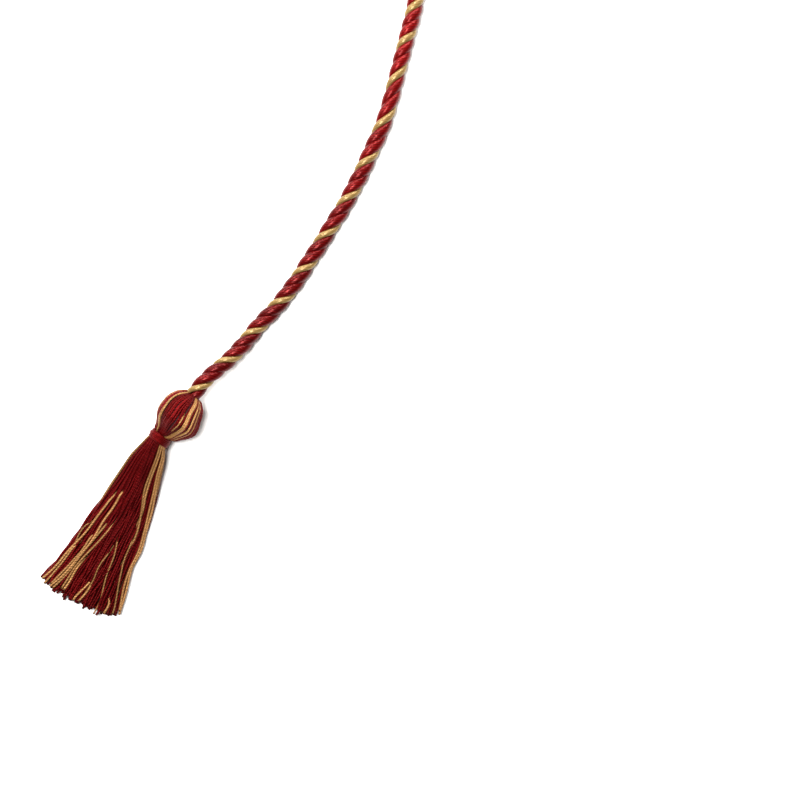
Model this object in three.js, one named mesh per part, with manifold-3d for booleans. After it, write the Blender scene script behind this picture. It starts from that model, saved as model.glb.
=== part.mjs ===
// An honor cord: a twisted rope that is worn round the neck, with a tassel at each end.
// It lies on a flat surface at z = 0, in millimetres, with +Z up. The origin is on that
// surface, under the middle of the box that holds the two tassels.
// Each tassel is one bundle of yarn: it is turned over the rope's end into a round head,
// bound with thread at the neck below it, and cut off as a fanned skirt of loose locks.

import * as THREE from "three";
import { mergeVertices } from "three/addons/utils/BufferGeometryUtils.js";
import Module from "manifold-3d";

const wasm = await Module();
wasm.setup();

// Driving dimensions
const GAP = 0.3; // between two pieces that touch
const ROPE_DIAMETER = 8;
const HEAD_DIAMETER = 22.5;
const HEAD_LENGTH = 22.3;
const RIB_DEPTH = 1.1; // of the grooves between the head's bunches of yarn
const NECK_DIAMETER = 8.4; // of the yarn where the thread binds it
const BARE_NECK = 1; // between the binding and the head, and the binding and the skirt
const BINDING_WIDTH = 4.8; // along the neck
const THREAD_DIAMETER = 0.9; // of the binding's thread, which lies in one layer
const SKIRT_LENGTH = 83; // from the neck to the ends of the longest locks
const SKIRT_WIDTH = 41; // across the ends
const SKIRT_THICKNESS = 6.4; // at the ends, where two layers of locks lie
const LOCK_WIDTH = 7;
const LOCK_THICKNESS = 3.7;
const SETTLE = 0.5; // how much of the yarn's underside is pressed flat by its weight

// How finely the round shapes are divided
const ROPE_SIDES = 10;
const STEPS_PER_POINT = 2; // of the rope, between two points of its route
const HEAD_RIBS = 16;
const SIDES_PER_RIB = 3;
const CORE_SIDES = 16;
const LOCK_SIDES = 8;
const LOCK_STEPS = 7;
const BINDING_SIDES = 24;
const THREAD_TURNS = 4;

const RED = { color: 0x8e0f1e, roughness: 0.5, metalness: 0 };
const GOLD = { color: 0xd3b059, roughness: 0.45, metalness: 0 };

// The rope's route from the front tassel to the back one, as it lies on the surface.
// rise is 0 where the rope lies flat, and 1 at the height of a tassel's head.
const ROUTE = [
  { x: 33.2, y: -101.4, rise: 1 },
  { x: 37.4, y: -96.5, rise: 1 },
  { x: 43.9, y: -90, rise: 0.8 },
  { x: 51.1, y: -83.7, rise: 0.45 },
  { x: 61.8, y: -70.9, rise: 0.05 },
  { x: 75.7, y: -55.3, rise: 0 },
  { x: 86.3, y: -39.9, rise: 0 },
  { x: 96.2, y: -24.3, rise: 0 },
  { x: 106.3, y: -7.5, rise: 0 },
  { x: 115.2, y: 10.8, rise: 0 },
  { x: 122.8, y: 28.6, rise: 0 },
  { x: 127.5, y: 45.6, rise: 0 },
  { x: 132.5, y: 64.8, rise: 0 },
  { x: 137, y: 82.7, rise: 0 },
  { x: 139.2, y: 100.4, rise: 0 },
  { x: 139.5, y: 121.4, rise: 0 },
  { x: 137.9, y: 253.4, rise: 0 },
  { x: 138.9, y: 383.6, rise: 0 },
  { x: 131.7, y: 400.9, rise: 0 },
  { x: 114.4, y: 408.1, rise: 0 },
  { x: 97.1, y: 400.9, rise: 0 },
  { x: 89.9, y: 383.6, rise: 0 },
  { x: 91.5, y: 253.4, rise: 0 },
  { x: 89.9, y: 120.9, rise: 0 },
  { x: 82.7, y: 103.6, rise: 0 },
  { x: 65.4, y: 96.4, rise: 0 },
  { x: 48.1, y: 103.6, rise: 0 },
  { x: 40.9, y: 120.9, rise: 0 },
  { x: 39.4, y: 253.4, rise: 0 },
  { x: 40.9, y: 383.6, rise: 0 },
  { x: 33.7, y: 400.9, rise: 0 },
  { x: 16.4, y: 408.1, rise: 0 },
  { x: -0.9, y: 400.9, rise: 0 },
  { x: -8.1, y: 383.6, rise: 0 },
  { x: -8.9, y: 315.3, rise: 0 },
  { x: -8.1, y: 247, rise: 0.05 },
  { x: -8.1, y: 230, rise: 0.45 },
  { x: -8.1, y: 220, rise: 0.8 },
  { x: -8.1, y: 211, rise: 1 },
  { x: -8.1, y: 204, rise: 1 },
];

// How each tassel lies at its end of the rope. swing turns its skirt from its head's line,
// in degrees, and side is -1 where its locks lie the other way round.
const TASSELS = {
  front: { swing: 14, side: 1 },
  back: { swing: -6.8, side: -1 },
};

// The head's outline: along is a share of HEAD_LENGTH, from the rope, and radius a share
// of the head's own radius.
const HEAD_SECTIONS = [
  { along: 0, radius: 0.38 },
  { along: 0.03, radius: 0.52 },
  { along: 0.13, radius: 0.74 },
  { along: 0.28, radius: 0.92 },
  { along: 0.48, radius: 1 },
  { along: 0.66, radius: 0.95 },
  { along: 0.81, radius: 0.8 },
  { along: 0.93, radius: 0.6 },
];
const HEAD_WAIST = 0.5; // of HEAD_LENGTH, from which the head tapers down to the neck

// The skirt's outline. along is a share of SKIRT_LENGTH, from the neck. width and thick
// are shares of the way from NECK_DIAMETER to SKIRT_WIDTH and SKIRT_THICKNESS, down is a
// share of the way from the neck's height to the surface, and bow moves the skirt
// sideways, as a share of SKIRT_WIDTH.
const SKIRT_SECTIONS = [
  { along: 0, width: 0, thick: 0, down: 0, bow: 0 },
  { along: 0.1, width: 0.23, thick: 0.25, down: 0.3, bow: -0.01 },
  { along: 0.22, width: 0.39, thick: 0.5, down: 0.75, bow: 0.01 },
  { along: 0.4, width: 0.53, thick: 0.75, down: 1, bow: 0.04 },
  { along: 0.65, width: 0.71, thick: 0.92, down: 1, bow: 0.045 },
  { along: 0.86, width: 0.88, thick: 1, down: 1, bow: 0.02 },
  { along: 1, width: 1, thick: 1, down: 1, bow: 0 },
];
const CORE_TOP = 0.7; // of the way up to the skirt's top, which its middle fills
const CORE_WIDTH = 0.94; // of the skirt's width, which its middle fills
const CORE_ROOT = 0.85; // of the neck's radius, where the middle starts inside the neck
const SHOULDER = 0.2; // of SKIRT_LENGTH, over which the middle drops below the locks

// The locks. end is where a lock lies across the skirt, from -1 to 1, layer is -1 on the
// surface and 1 on top, length is a share of SKIRT_LENGTH, and sway bends a lock sideways
// at its middle, as a share of LOCK_WIDTH.
const LOCKS = [
  { end: -1, layer: -1, length: 0.94, sway: 0.1 },
  { end: -0.72, layer: -1, length: 0.98, sway: -0.2 },
  { end: -0.44, layer: -1, length: 0.97, sway: 0.2 },
  { end: -0.15, layer: -1, length: 1, sway: -0.1 },
  { end: 0.15, layer: -1, length: 0.98, sway: 0.15 },
  { end: 0.44, layer: -1, length: 1, sway: -0.2 },
  { end: 0.72, layer: -1, length: 0.97, sway: 0.1 },
  { end: 1, layer: -1, length: 0.91, sway: -0.1 },
  { end: -0.84, layer: 1, length: 0.95, sway: 0.25 },
  { end: -0.56, layer: 1, length: 0.99, sway: -0.15 },
  { end: -0.28, layer: 1, length: 0.97, sway: 0.3 },
  { end: 0.02, layer: 1, length: 0.99, sway: -0.25 },
  { end: 0.3, layer: 1, length: 0.97, sway: 0.2 },
  { end: 0.58, layer: 1, length: 0.99, sway: -0.3 },
  { end: 0.84, layer: 1, length: 0.94, sway: 0.15 },
];
const LOCK_ROOT = 0.42; // of the neck's radius, which a lock's root takes up
const LOCK_START = 0.35; // of SKIRT_LENGTH, by which a lock has its full width
const ROUND_NECK = 0.8; // how far the outer locks' roots follow the neck's round top

const mix = THREE.MathUtils.lerp;
const smooth = THREE.MathUtils.smoothstep;

const headRadius = HEAD_DIAMETER / 2;
const headHeight = headRadius - SETTLE;
const neckRadius = NECK_DIAMETER / 2;
const ropeRadius = ROPE_DIAMETER / 2;
const bindingRadius = neckRadius + GAP + THREAD_DIAMETER;
// The neck hangs free, halfway between the head's middle and a binding on the surface.
const neckHeight = (headHeight + bindingRadius) / 2;
const neckLength = BINDING_WIDTH + 2 * BARE_NECK;
const skirtStart = HEAD_LENGTH + neckLength;

// A closed mesh as a solid that can be joined and cut
function solidOf(geometry) {
  const bare = geometry.clone();
  bare.deleteAttribute("normal");
  bare.deleteAttribute("uv");
  const merged = mergeVertices(bare);
  return new wasm.Manifold(
    new wasm.Mesh({
      numProp: 3,
      vertProperties: merged.attributes.position.array,
      triVerts: new Uint32Array(merged.index.array),
    }),
  );
}

// A solid as a three.js geometry
function geometryOf(solid) {
  const mesh = solid.getMesh();
  const geometry = new THREE.BufferGeometry();
  geometry.setAttribute("position", new THREE.BufferAttribute(mesh.vertProperties, 3));
  geometry.setIndex(new THREE.BufferAttribute(mesh.triVerts, 1));
  geometry.computeVertexNormals();
  return geometry;
}

// A solid's outer skin: the small pockets that its parts close off inside are filled.
function outside(solid) {
  const skins = solid.decompose();
  return skins.reduce((most, skin) => (skin.volume() > most.volume() ? skin : most));
}

// A closed solid that is lofted through rings: place(ring, angle, reach) gives a point,
// where reach is 1 on a ring and 0 at the middle of an end.
function lofted(rings, sides, place) {
  const geometry = new THREE.CylinderGeometry(1, 1, 1, sides, rings - 1);
  const position = geometry.attributes.position;
  const point = new THREE.Vector3();
  for (let i = 0; i < position.count; i += 1) {
    point.fromBufferAttribute(position, i);
    const ring = Math.round((0.5 - point.y) * (rings - 1));
    const angle = Math.atan2(point.z, point.x);
    const reach = Math.round(Math.hypot(point.x, point.z));
    position.setXYZ(i, ...place(ring, angle, reach).toArray());
  }
  return solidOf(geometry);
}

// A point of a tassel, from how far it lies along the tassel's line, across it and above
// the surface. The line turns by half of swing at each end of the neck.
function onTassel(along, across, height, swing) {
  const inNeck = THREE.MathUtils.clamp(along - HEAD_LENGTH, 0, neckLength);
  const inSkirt = Math.max(0, along - skirtStart);
  const turn = along > skirtStart ? swing : along < HEAD_LENGTH ? 0 : swing / 2;
  return new THREE.Vector3(
    Math.min(along, HEAD_LENGTH) +
      inNeck * Math.cos(swing / 2) +
      inSkirt * Math.cos(swing) -
      across * Math.sin(turn),
    inNeck * Math.sin(swing / 2) + inSkirt * Math.sin(swing) + across * Math.cos(turn),
    height,
  );
}

// The head, with a groove between each two bunches of yarn, and the neck below it
function headSolid(swing) {
  const sections = HEAD_SECTIONS.map(({ along, radius }) => ({
    along: along * HEAD_LENGTH,
    radius: radius * headRadius,
    height: mix(headHeight, neckHeight, smooth(along, HEAD_WAIST, 1)),
    groove: RIB_DEPTH * Math.sin(Math.PI * along),
  }));
  [HEAD_LENGTH, skirtStart].forEach((along) => {
    sections.push({ along, radius: neckRadius, height: neckHeight, groove: 0 });
  });
  return lofted(sections.length, HEAD_RIBS * SIDES_PER_RIB, (ring, angle, reach) => {
    const { along, radius, height, groove } = sections[ring];
    const ribbed = reach * (radius - (groove * (1 - Math.cos(HEAD_RIBS * angle))) / 2);
    const up = ribbed * Math.sin(angle);
    return onTassel(along, ribbed * Math.cos(angle), height + up, swing);
  });
}

// The skirt's half width, half thickness, height and bow at a share of its length
function skirtAt(share) {
  const found = SKIRT_SECTIONS.findIndex(({ along }) => along >= share);
  const to = SKIRT_SECTIONS[Math.max(1, found)];
  const from = SKIRT_SECTIONS[Math.max(1, found) - 1];
  const t = (share - from.along) / (to.along - from.along);
  const halfWidth = mix(neckRadius, SKIRT_WIDTH / 2, mix(from.width, to.width, t));
  const halfThick = mix(neckRadius, SKIRT_THICKNESS / 2, mix(from.thick, to.thick, t));
  const lying = halfThick - SETTLE;
  return {
    halfWidth,
    halfThick,
    height: mix(neckHeight, lying, mix(from.down, to.down, t)),
    bow: SKIRT_WIDTH * mix(from.bow, to.bow, t),
  };
}

// The skirt's middle, which the locks are fused to. It starts inside the neck.
function coreSolid(swing, side) {
  const rings = [{ along: HEAD_LENGTH + neckLength / 2, share: 0, fill: CORE_ROOT }];
  SKIRT_SECTIONS.slice(0, -1).forEach(({ along }) => {
    const fill = along === 0 ? CORE_ROOT : 1;
    rings.push({ along: skirtStart + along * SKIRT_LENGTH, share: along, fill });
  });
  return lofted(rings.length, CORE_SIDES, (ring, angle, reach) => {
    const { along, share, fill } = rings[ring];
    const { halfWidth, halfThick, height, bow } = skirtAt(share);
    const across = side * bow + reach * fill * CORE_WIDTH * halfWidth * Math.cos(angle);
    const top = mix(1, CORE_TOP, smooth(share, 0, SHOULDER));
    const thick = reach * fill * halfThick * (angle > 0 ? top : 1);
    return onTassel(along, across, height + thick * Math.sin(angle), swing);
  });
}

// One lock of the skirt, from inside the neck to its cut end
function lockSolid({ end, layer, length, sway }, swing, side) {
  const dome = Math.sqrt(1 - (end * ROUND_NECK) ** 2);
  return lofted(LOCK_STEPS + 1, LOCK_SIDES, (ring, angle, reach) => {
    const share = (ring / LOCK_STEPS) * length;
    const { halfWidth, halfThick, height, bow } = skirtAt(share);
    const free = smooth(share, 0, LOCK_START);
    const halfLock = mix(neckRadius * LOCK_ROOT, LOCK_WIDTH / 2, free);
    const halfDepth = mix(neckRadius * LOCK_ROOT, LOCK_THICKNESS / 2, free);
    const bend = sway * LOCK_WIDTH * Math.sin(Math.PI * share) * free;
    const across = end * (halfWidth - halfLock) + bend + bow;
    const up = layer * mix(dome, 1, free) * (halfThick - halfDepth);
    return onTassel(
      skirtStart + (ring === 0 ? -BARE_NECK : share * SKIRT_LENGTH),
      side * across + reach * halfLock * Math.cos(angle),
      height + up + reach * halfDepth * Math.sin(angle),
      swing,
    );
  });
}

// Head, neck and skirt as one bundle of yarn, flat where it rests on the surface
function tasselGeometry({ swing, side }) {
  const turn = THREE.MathUtils.degToRad(swing);
  const locks = LOCKS.map((lock) => lockSolid(lock, turn, side));
  const whole = locks.reduce(
    (bundle, lock) => bundle.add(lock),
    headSolid(turn).add(coreSolid(turn, side)),
  );
  const reach = 2 * (skirtStart + SKIRT_LENGTH + SKIRT_WIDTH);
  const below = new THREE.BoxGeometry(reach, reach, HEAD_DIAMETER);
  below.translate(0, 0, -HEAD_DIAMETER / 2);
  return geometryOf(outside(whole.subtract(solidOf(below))));
}

// The binding: turns of thread side by side, as one ring round the Y axis
function bindingGeometry() {
  const inner = neckRadius + GAP;
  const valley = inner + THREAD_DIAMETER / 2;
  const top = BINDING_WIDTH / 2;
  const turnWidth = BINDING_WIDTH / THREAD_TURNS;
  const profile = [new THREE.Vector2(inner, top), new THREE.Vector2(inner, -top)];
  for (let turn = 0; turn < THREAD_TURNS; turn += 1) {
    const middle = -top + (turn + 1 / 2) * turnWidth;
    profile.push(new THREE.Vector2(valley, middle - turnWidth / 2));
    profile.push(new THREE.Vector2(bindingRadius, middle - turnWidth / 6));
    profile.push(new THREE.Vector2(bindingRadius, middle + turnWidth / 6));
  }
  profile.push(new THREE.Vector2(valley, top), profile[0].clone());
  return new THREE.LatheGeometry(profile, BINDING_SIDES);
}

// The rope's line, which never dips into the surface. Its steps are shared out evenly
// between the route's points, so that the bends, which have the most, get short steps.
class Route extends THREE.CatmullRomCurve3 {
  getPoint(share, target) {
    const point = super.getPoint(share, target);
    return point.setZ(Math.max(point.z, ropeRadius));
  }

  getUtoTmapping(share) {
    return share;
  }
}

function ropeGeometry(line) {
  const corners = [];
  for (let side = 0; side < ROPE_SIDES; side += 1) {
    const angle = (2 * Math.PI * side) / ROPE_SIDES;
    corners.push(new THREE.Vector2(Math.cos(angle), Math.sin(angle)).multiplyScalar(ropeRadius));
  }
  return new THREE.ExtrudeGeometry(new THREE.Shape(corners), {
    steps: STEPS_PER_POINT * (line.points.length - 1),
    extrudePath: line,
    bevelEnabled: false,
  });
}

// A tassel and its binding at one end of the rope, in line with the rope there
function tasselGroup(name, lie, ropeEnd, ropeBefore) {
  const group = new THREE.Group();
  const heading = ropeEnd.clone().sub(ropeBefore).setZ(0).normalize();
  group.position.copy(ropeEnd).addScaledVector(heading, GAP).setZ(0);
  group.rotation.z = Math.atan2(heading.y, heading.x);

  const tassel = new THREE.Mesh(tasselGeometry(lie), new THREE.MeshStandardMaterial(RED));
  tassel.name = `${name}_tassel`;
  group.add(tassel);

  const binding = new THREE.Mesh(bindingGeometry(), new THREE.MeshStandardMaterial(RED));
  binding.name = `${name}_binding`;
  const swing = THREE.MathUtils.degToRad(lie.swing);
  binding.position.copy(onTassel(HEAD_LENGTH + neckLength / 2, 0, neckHeight, swing));
  binding.rotation.z = swing / 2 - Math.PI / 2;
  group.add(binding);
  return group;
}

const honorCord = new THREE.Group();
const line = new Route(
  ROUTE.map(({ x, y, rise }) => new THREE.Vector3(x, y, mix(ropeRadius, headHeight, rise))),
);
const rope = new THREE.Mesh(ropeGeometry(line), new THREE.MeshStandardMaterial(GOLD));
rope.name = "rope";
honorCord.add(rope);

const [first, second] = line.points;
const [beforeLast, last] = line.points.slice(-2);
honorCord.add(tasselGroup("front", TASSELS.front, first, second));
honorCord.add(tasselGroup("back", TASSELS.back, last, beforeLast));

export default honorCord;
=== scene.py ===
# The looks of an honor cord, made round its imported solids: a rope of three twisted plies of
# rayon, and at each end a tassel of yarn that is turned over the rope's end into a round head,
# bound with thread at the neck, and cut off as a fanned skirt of loose strands.
# Lines of yarn are worked out in millimetres and become metres when they are made a mesh.

import math

import bmesh
import bpy
import numpy as np
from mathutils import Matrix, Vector


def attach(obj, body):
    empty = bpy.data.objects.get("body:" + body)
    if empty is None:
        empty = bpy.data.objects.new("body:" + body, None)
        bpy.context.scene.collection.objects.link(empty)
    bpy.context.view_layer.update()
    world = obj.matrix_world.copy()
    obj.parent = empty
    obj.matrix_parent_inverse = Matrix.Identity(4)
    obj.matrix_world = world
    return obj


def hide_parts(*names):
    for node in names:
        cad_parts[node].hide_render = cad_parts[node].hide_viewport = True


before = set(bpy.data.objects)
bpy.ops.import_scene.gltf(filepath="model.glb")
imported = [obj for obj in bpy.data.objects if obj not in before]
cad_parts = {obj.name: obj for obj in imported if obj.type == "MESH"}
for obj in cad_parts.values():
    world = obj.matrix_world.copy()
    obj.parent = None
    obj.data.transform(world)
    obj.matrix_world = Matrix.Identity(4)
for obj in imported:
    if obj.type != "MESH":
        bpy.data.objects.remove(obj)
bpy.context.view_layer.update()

MM = 0.001
UP = np.array([0.0, 0.0, 1.0])

# The sizes and the route that the part's source gives
GAP = 0.3
ROPE_RADIUS = 4.0
HEAD_RADIUS = 11.25
HEAD_LENGTH = 22.3
NECK_RADIUS = 4.2
NECK_LENGTH = 6.8
BINDING_WIDTH = 4.8
BINDING_THREAD_RADIUS = 0.45
BINDING_LEAN = 0.1
NECK_BOW = 0.45
SKIRT_LENGTH = 83.0
SKIRT_HALF_THICKNESS = 3.2
SETTLE = 0.5
HEAD_HEIGHT = HEAD_RADIUS - SETTLE
BINDING_RADIUS = NECK_RADIUS + GAP + 2 * BINDING_THREAD_RADIUS
NECK_HEIGHT = (HEAD_HEIGHT + BINDING_RADIUS) / 2
SKIRT_START = HEAD_LENGTH + NECK_LENGTH

# x and y of the rope's route, and how far it rises from the surface to a head's height
ROUTE = np.array([
    (33.2, -101.4, 1), (37.4, -96.5, 1), (43.9, -90, 0.8), (51.1, -83.7, 0.45),
    (61.8, -70.9, 0.05), (75.7, -55.3, 0), (86.3, -39.9, 0), (96.2, -24.3, 0),
    (106.3, -7.5, 0), (115.2, 10.8, 0), (122.8, 28.6, 0), (127.5, 45.6, 0),
    (132.5, 64.8, 0), (137, 82.7, 0), (139.2, 100.4, 0), (139.5, 121.4, 0),
    (137.9, 253.4, 0), (138.9, 383.6, 0), (131.7, 400.9, 0), (114.4, 408.1, 0),
    (97.1, 400.9, 0), (89.9, 383.6, 0), (91.5, 253.4, 0), (89.9, 120.9, 0),
    (82.7, 103.6, 0), (65.4, 96.4, 0), (48.1, 103.6, 0), (40.9, 120.9, 0),
    (39.4, 253.4, 0), (40.9, 383.6, 0), (33.7, 400.9, 0), (16.4, 408.1, 0),
    (-0.9, 400.9, 0), (-8.1, 383.6, 0), (-8.9, 315.3, 0), (-8.1, 247, 0.05),
    (-8.1, 230, 0.45), (-8.1, 220, 0.8), (-8.1, 211, 1), (-8.1, 204, 1),
])

# The view: straight down on the front tassel and the rope's first stretch
VIEW_CENTRE = (129.8, -103.9)
VIEW_WIDTH = 376.0
LENS = 85.0
SENSOR = 36.0

# How far along the rope the gold ply crosses its top, on the stretch in view
GOLD_CROSSINGS = (4.3, 23, 41.1, 61.2, 79.5, 98.5, 119, 137.6, 158.4, 180.7, 198.3, 213.8)
PLY_PITCH = 19.0
RINGS_PER_TURN = 17
PLY_SIDES = 17
# The plies press each other flat: half a ply's size outwards and sideways, by its radius
PLY_SECTION = (0.94, 1.14)
# A ply's radius and its middle's distance from the rope's, in each pair at the front tassel
# and then further on
RED_PLY = {"radius": (2.16, 2.12), "from_axis": (1.94, 1.98)}
GOLD_PLY = {"radius": (1.2, 1.56), "from_axis": (2.56, 2.42)}
CORE_RADIUS = 1.5
# The core's tint is painted shade, dark where it shows between the plies
CORE_SHADE_TINT = -0.6
PLY_CHANGES = (30.0, 230.0)
# Painted shade: the red plies' tint is lowered near the front tassel and raised further on, by these
# amounts, between these distances along the rope
RED_PLY_PAINTED_SHADE = (-0.5, 0.15)
PAINTED_SHADE_CHANGES = (60.0, 230.0)
RED_PLY_ANGLE = math.radians(117)
PLY_TAIL = 3.0
PLY_LAY = 45.0
GOLD_TINT = 0.6
RED_TINTS = (0.4, 0.6)
ROPE_SEED = 5
# How unevenly the rope is laid: the places at which it changes, by how much of a ply's
# angle and by what share of its thickness
UNEVEN_PLACES = 90
UNEVEN_ANGLE = 0.05
UNEVEN_THICKNESS = 0.025
STEPS_PER_POINT = 24

# The yarn that both tassels are made of: two thin plies twisted together
YARN_RADIUS = 0.57
YARN_LAY = 3.0
YARN_STEP = 0.8
YARN_SECTION = ((1, 0), (0.55, 0.75), (-0.55, 0.75), (-1, 0), (-0.55, -0.75), (0.55, -0.75))

# The head's outline: how far along and how wide, both as shares. The yarn comes out round
# the rope and folds back over the head.
HEAD_LINE = (
    (0.08, 0.26), (0.02, 0.33), (0, 0.42), (0.03, 0.51), (0.08, 0.63), (0.14, 0.745), (0.23, 0.84),
    (0.36, 0.93), (0.49, 0.985), (0.62, 0.995), (0.76, 0.88), (0.85, 0.75), (0.94, 0.63), (1, 0.56),
    (1.04, 0.46), (1.08, 0.4), (1.16, 0.37),
)
# How far the head bulges to its right, by the share of its length
HEAD_BOW = (
    (0, 0.4), (0.1, 0.5), (0.25, 0.48), (0.36, 0.58), (0.49, 0.9), (0.63, 1.1), (0.76, 1),
    (0.94, 1), (1, 0.85), (1.06, 0.5), (1.16, 0.45),
)
HEAD_WAIST = 0.5
HEAD_YARNS = 60
# How often the head's ribs come round it, and the side of the head where each kind has one
HEAD_RIBS = ((5, 60), (9, 60), (14, 60), (19, 60))
RIB_DEPTH = 0.34

# The skirt's outline: how far it reaches to its left and right, how thick it is and how
# far it has come down to the surface, all by the distance from the neck
SKIRT_LEFT = (
    (-3.4, 3.5), (0, 4.5), (8.5, 7.2), (15, 8.5), (20, 9.2), (26, 10.2), (32, 11.7),
    (40, 13.2), (48, 15), (54, 16.4), (63.5, 18.4), (71, 20.5), (84, 25.6),
)
SKIRT_RIGHT = (
    (-3.4, 5), (0, 6), (6.5, 8.4), (14, 10.2), (24, 13), (34, 15.3), (42, 16.4),
    (54, 17.6), (64, 18.8), (70, 20), (84, 22.5),
)
SKIRT_THICK = ((0, 0), (8.3, 0.25), (18.3, 0.5), (33.2, 0.75), (54, 0.92), (71.4, 1), (84, 1))
SKIRT_DOWN = ((0, 0), (8.3, 0.3), (18.3, 0.75), (33.2, 1), (84, 1))
# How far the strands reach from the neck, by where they end across the skirt
SKIRT_ENDS = (
    (-22, 77.5), (-15.5, 81.6), (-9.4, 82.8), (-3.8, 82.8), (1.2, 83), (7.2, 83.6),
    (11.9, 83), (16.4, 82.4), (19.8, 80), (22, 77),
)

# The gold strands on top of the skirt: where each is seen, by the distance from the neck
# and from the skirt's middle line
TOP_GOLDS = (
    ((0.6, -4.4), (8.5, -7.2), (19.1, -8.6), (27, -9.9), (33, -10.7)),
    ((0.4, 3.5), (6.6, 4.4), (16.7, 5.1), (22.5, 5.9), (28.3, 7.8),
     (33.6, 9.2), (38.9, 10.7), (44, 11.9)),
    ((0.4, 4.4), (6.6, 5.4), (16.7, 6.1), (22.5, 6.9), (27, 8.2), (30, 9.3)),
    ((0, 5.1), (4.4, 6.5), (14.1, 8.2), (24.3, 10.7), (36.7, 13.7),
     (47.7, 15.5), (58.3, 15.9), (67.6, 17.5), (77, 19.8)),
    ((0.5, 5.7), (4.4, 7.3), (14.1, 9.1), (24.3, 11.7), (36.7, 14.6),
     (47.7, 16.4), (58.3, 16.8), (67.6, 18.4), (77, 20.8)),
    ((29.9, -6.5), (38.9, -7.7), (46.4, -9.4), (53.9, -11.1),
     (63.3, -13.5), (71.5, -15.7), (77.5, -17.9)),
    ((59.2, -12.2), (64, -13.2), (68.1, -13.9), (73.9, -14.9), (79.8, -16.1)),
    ((27.8, -3.6), (38.4, -4.3), (48.1, -5.5), (57.7, -6.7),
     (66.4, -8.4), (75.8, -11.5), (82.5, -14)),
    ((45.7, -3.9), (53, -5.6), (62.9, -7.3), (71.3, -8.9), (82.1, -12.6)),
    ((52, -7.2), (62, -8.6), (71.3, -10.8), (81.5, -14.6)),
    ((45.3, -1.2), (52.9, -3.1), (60.6, -5.3), (68.8, -7.2), (74.6, -7.9), (81.9, -9.1)),
    ((66.7, -6.2), (72.5, -6.9), (78, -7.2), (81.6, -7.6)),
    ((71, 2.2), (76.8, 0.6), (81.4, -0.9)),
    ((73, 3.1), (78, 2.2), (81.3, 1)),
    ((77, 14.6), (83, 14.4)),
)
# Thinner ones that the red strands half cover
FINE_GOLDS = (
    ((1.6, 6.5), (6.6, 8.3), (11.9, 9.3), (18.4, 10.8)),
    ((46.9, -11), (49.3, -12.2), (52.4, -13), (55.7, -12.3)),
    ((55.3, 4.1), (64, 2.4), (71, 2.7)),
    ((48.3, 4.8), (58.2, 6.8), (68.4, 8.2), (79.4, 10.2)),
    ((46.3, 11.4), (56.3, 11.8), (66.7, 14), (77.5, 17.7)),
)
RED_STRANDS = 118
UNDER_GOLDS = 3
STATIONS = 23
PACKING_ROUNDS = 130
LOCKS = 13
FURROW_DEPTH = 0.45

# The head's gold yarns, by the side of the head on which each lies: 0 is its right edge,
# 90 its top, 180 its left edge, and beyond that its underside
HEAD_GOLDS = (30, 42, 54, 60, 66, 132, 138, 168, 204, 246, 252, 288, 318)
# One thin gold yarn that lies over the others on a short stretch: how high it is there and
# how deep it is elsewhere
STRAY_GOLD = {"side": 77, "start": 9.5, "end": 19, "tint": 0.8, "thick": 0.75}
STRAY_LIFT = 1.3
STRAY_DEPTH = 1.1

TASSELS = {
    "front": {"swing": 14.0, "bow": 2.0, "side": 1, "seed": 11, "end": 0, "before": 1},
    "back": {"swing": -6.8, "bow": 1.0, "side": -1, "seed": 23, "end": -1, "before": -2},
}


def by_distance(table, places):
    """The values of a table of (distance, value) rows at other distances."""
    distances, values = zip(*table)
    return np.interp(places, distances, values)


def smooth_step(low, high, value):
    share = np.clip((value - low) / (high - low), 0, 1)
    return share * share * (3 - 2 * share)


def blend(low, high, share):
    return low + (high - low) * share


def centripetal(points, per_span):
    """Points along the centripetal Catmull-Rom curve through the given ones."""
    first = 2 * points[0] - points[1]
    last = 2 * points[-1] - points[-2]
    padded = np.vstack([first, points, last])
    share = np.linspace(0, 1, per_span, endpoint=False)[:, None]
    spans = []
    for before, start, end, after in zip(padded, padded[1:], padded[2:], padded[3:]):
        gaps = [np.sqrt(np.linalg.norm(b - a)) for a, b in ((before, start), (start, end), (end, after))]
        ahead, here, behind = gaps[0], gaps[1], gaps[2]
        leave = (start - before) / ahead - (end - before) / (ahead + here) + (end - start) / here
        arrive = (end - start) / here - (after - start) / (here + behind) + (after - end) / behind
        leave, arrive = leave * here, arrive * here
        square = (3 * (end - start) - 2 * leave - arrive) * share**2
        cube = (2 * (start - end) + leave + arrive) * share**3
        spans.append(start + leave * share + square + cube)
    return np.vstack([*spans, points[-1:]])


def distances(line):
    """How far along a line each of its points is."""
    steps = np.linalg.norm(np.diff(line, axis=0), axis=1)
    return np.concatenate([[0], np.cumsum(steps)])


def along_line(line, places):
    """The points at given distances along a line."""
    reached = distances(line)
    return np.stack([np.interp(places, reached, column) for column in line.T], axis=1)


def frames_along(line):
    """Each point's direction ahead, to the left and up."""
    ahead = np.gradient(line, axis=0)
    ahead /= np.linalg.norm(ahead, axis=1)[:, None]
    left = np.cross(UP, ahead)
    left /= np.linalg.norm(left, axis=1)[:, None]
    return ahead, left, np.cross(ahead, left)


class Yarn:
    """One line of yarn or thread: its points, its radius at each, its colour, tint and turn."""

    def __init__(self, points, radius, colour=0, tint=0.5, tilt=0.0):
        self.points = points
        self.radius = np.broadcast_to(radius, len(points))
        self.colour = colour
        self.tint = np.broadcast_to(tint, len(points))
        self.tilt = np.broadcast_to(tilt, len(points))


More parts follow.
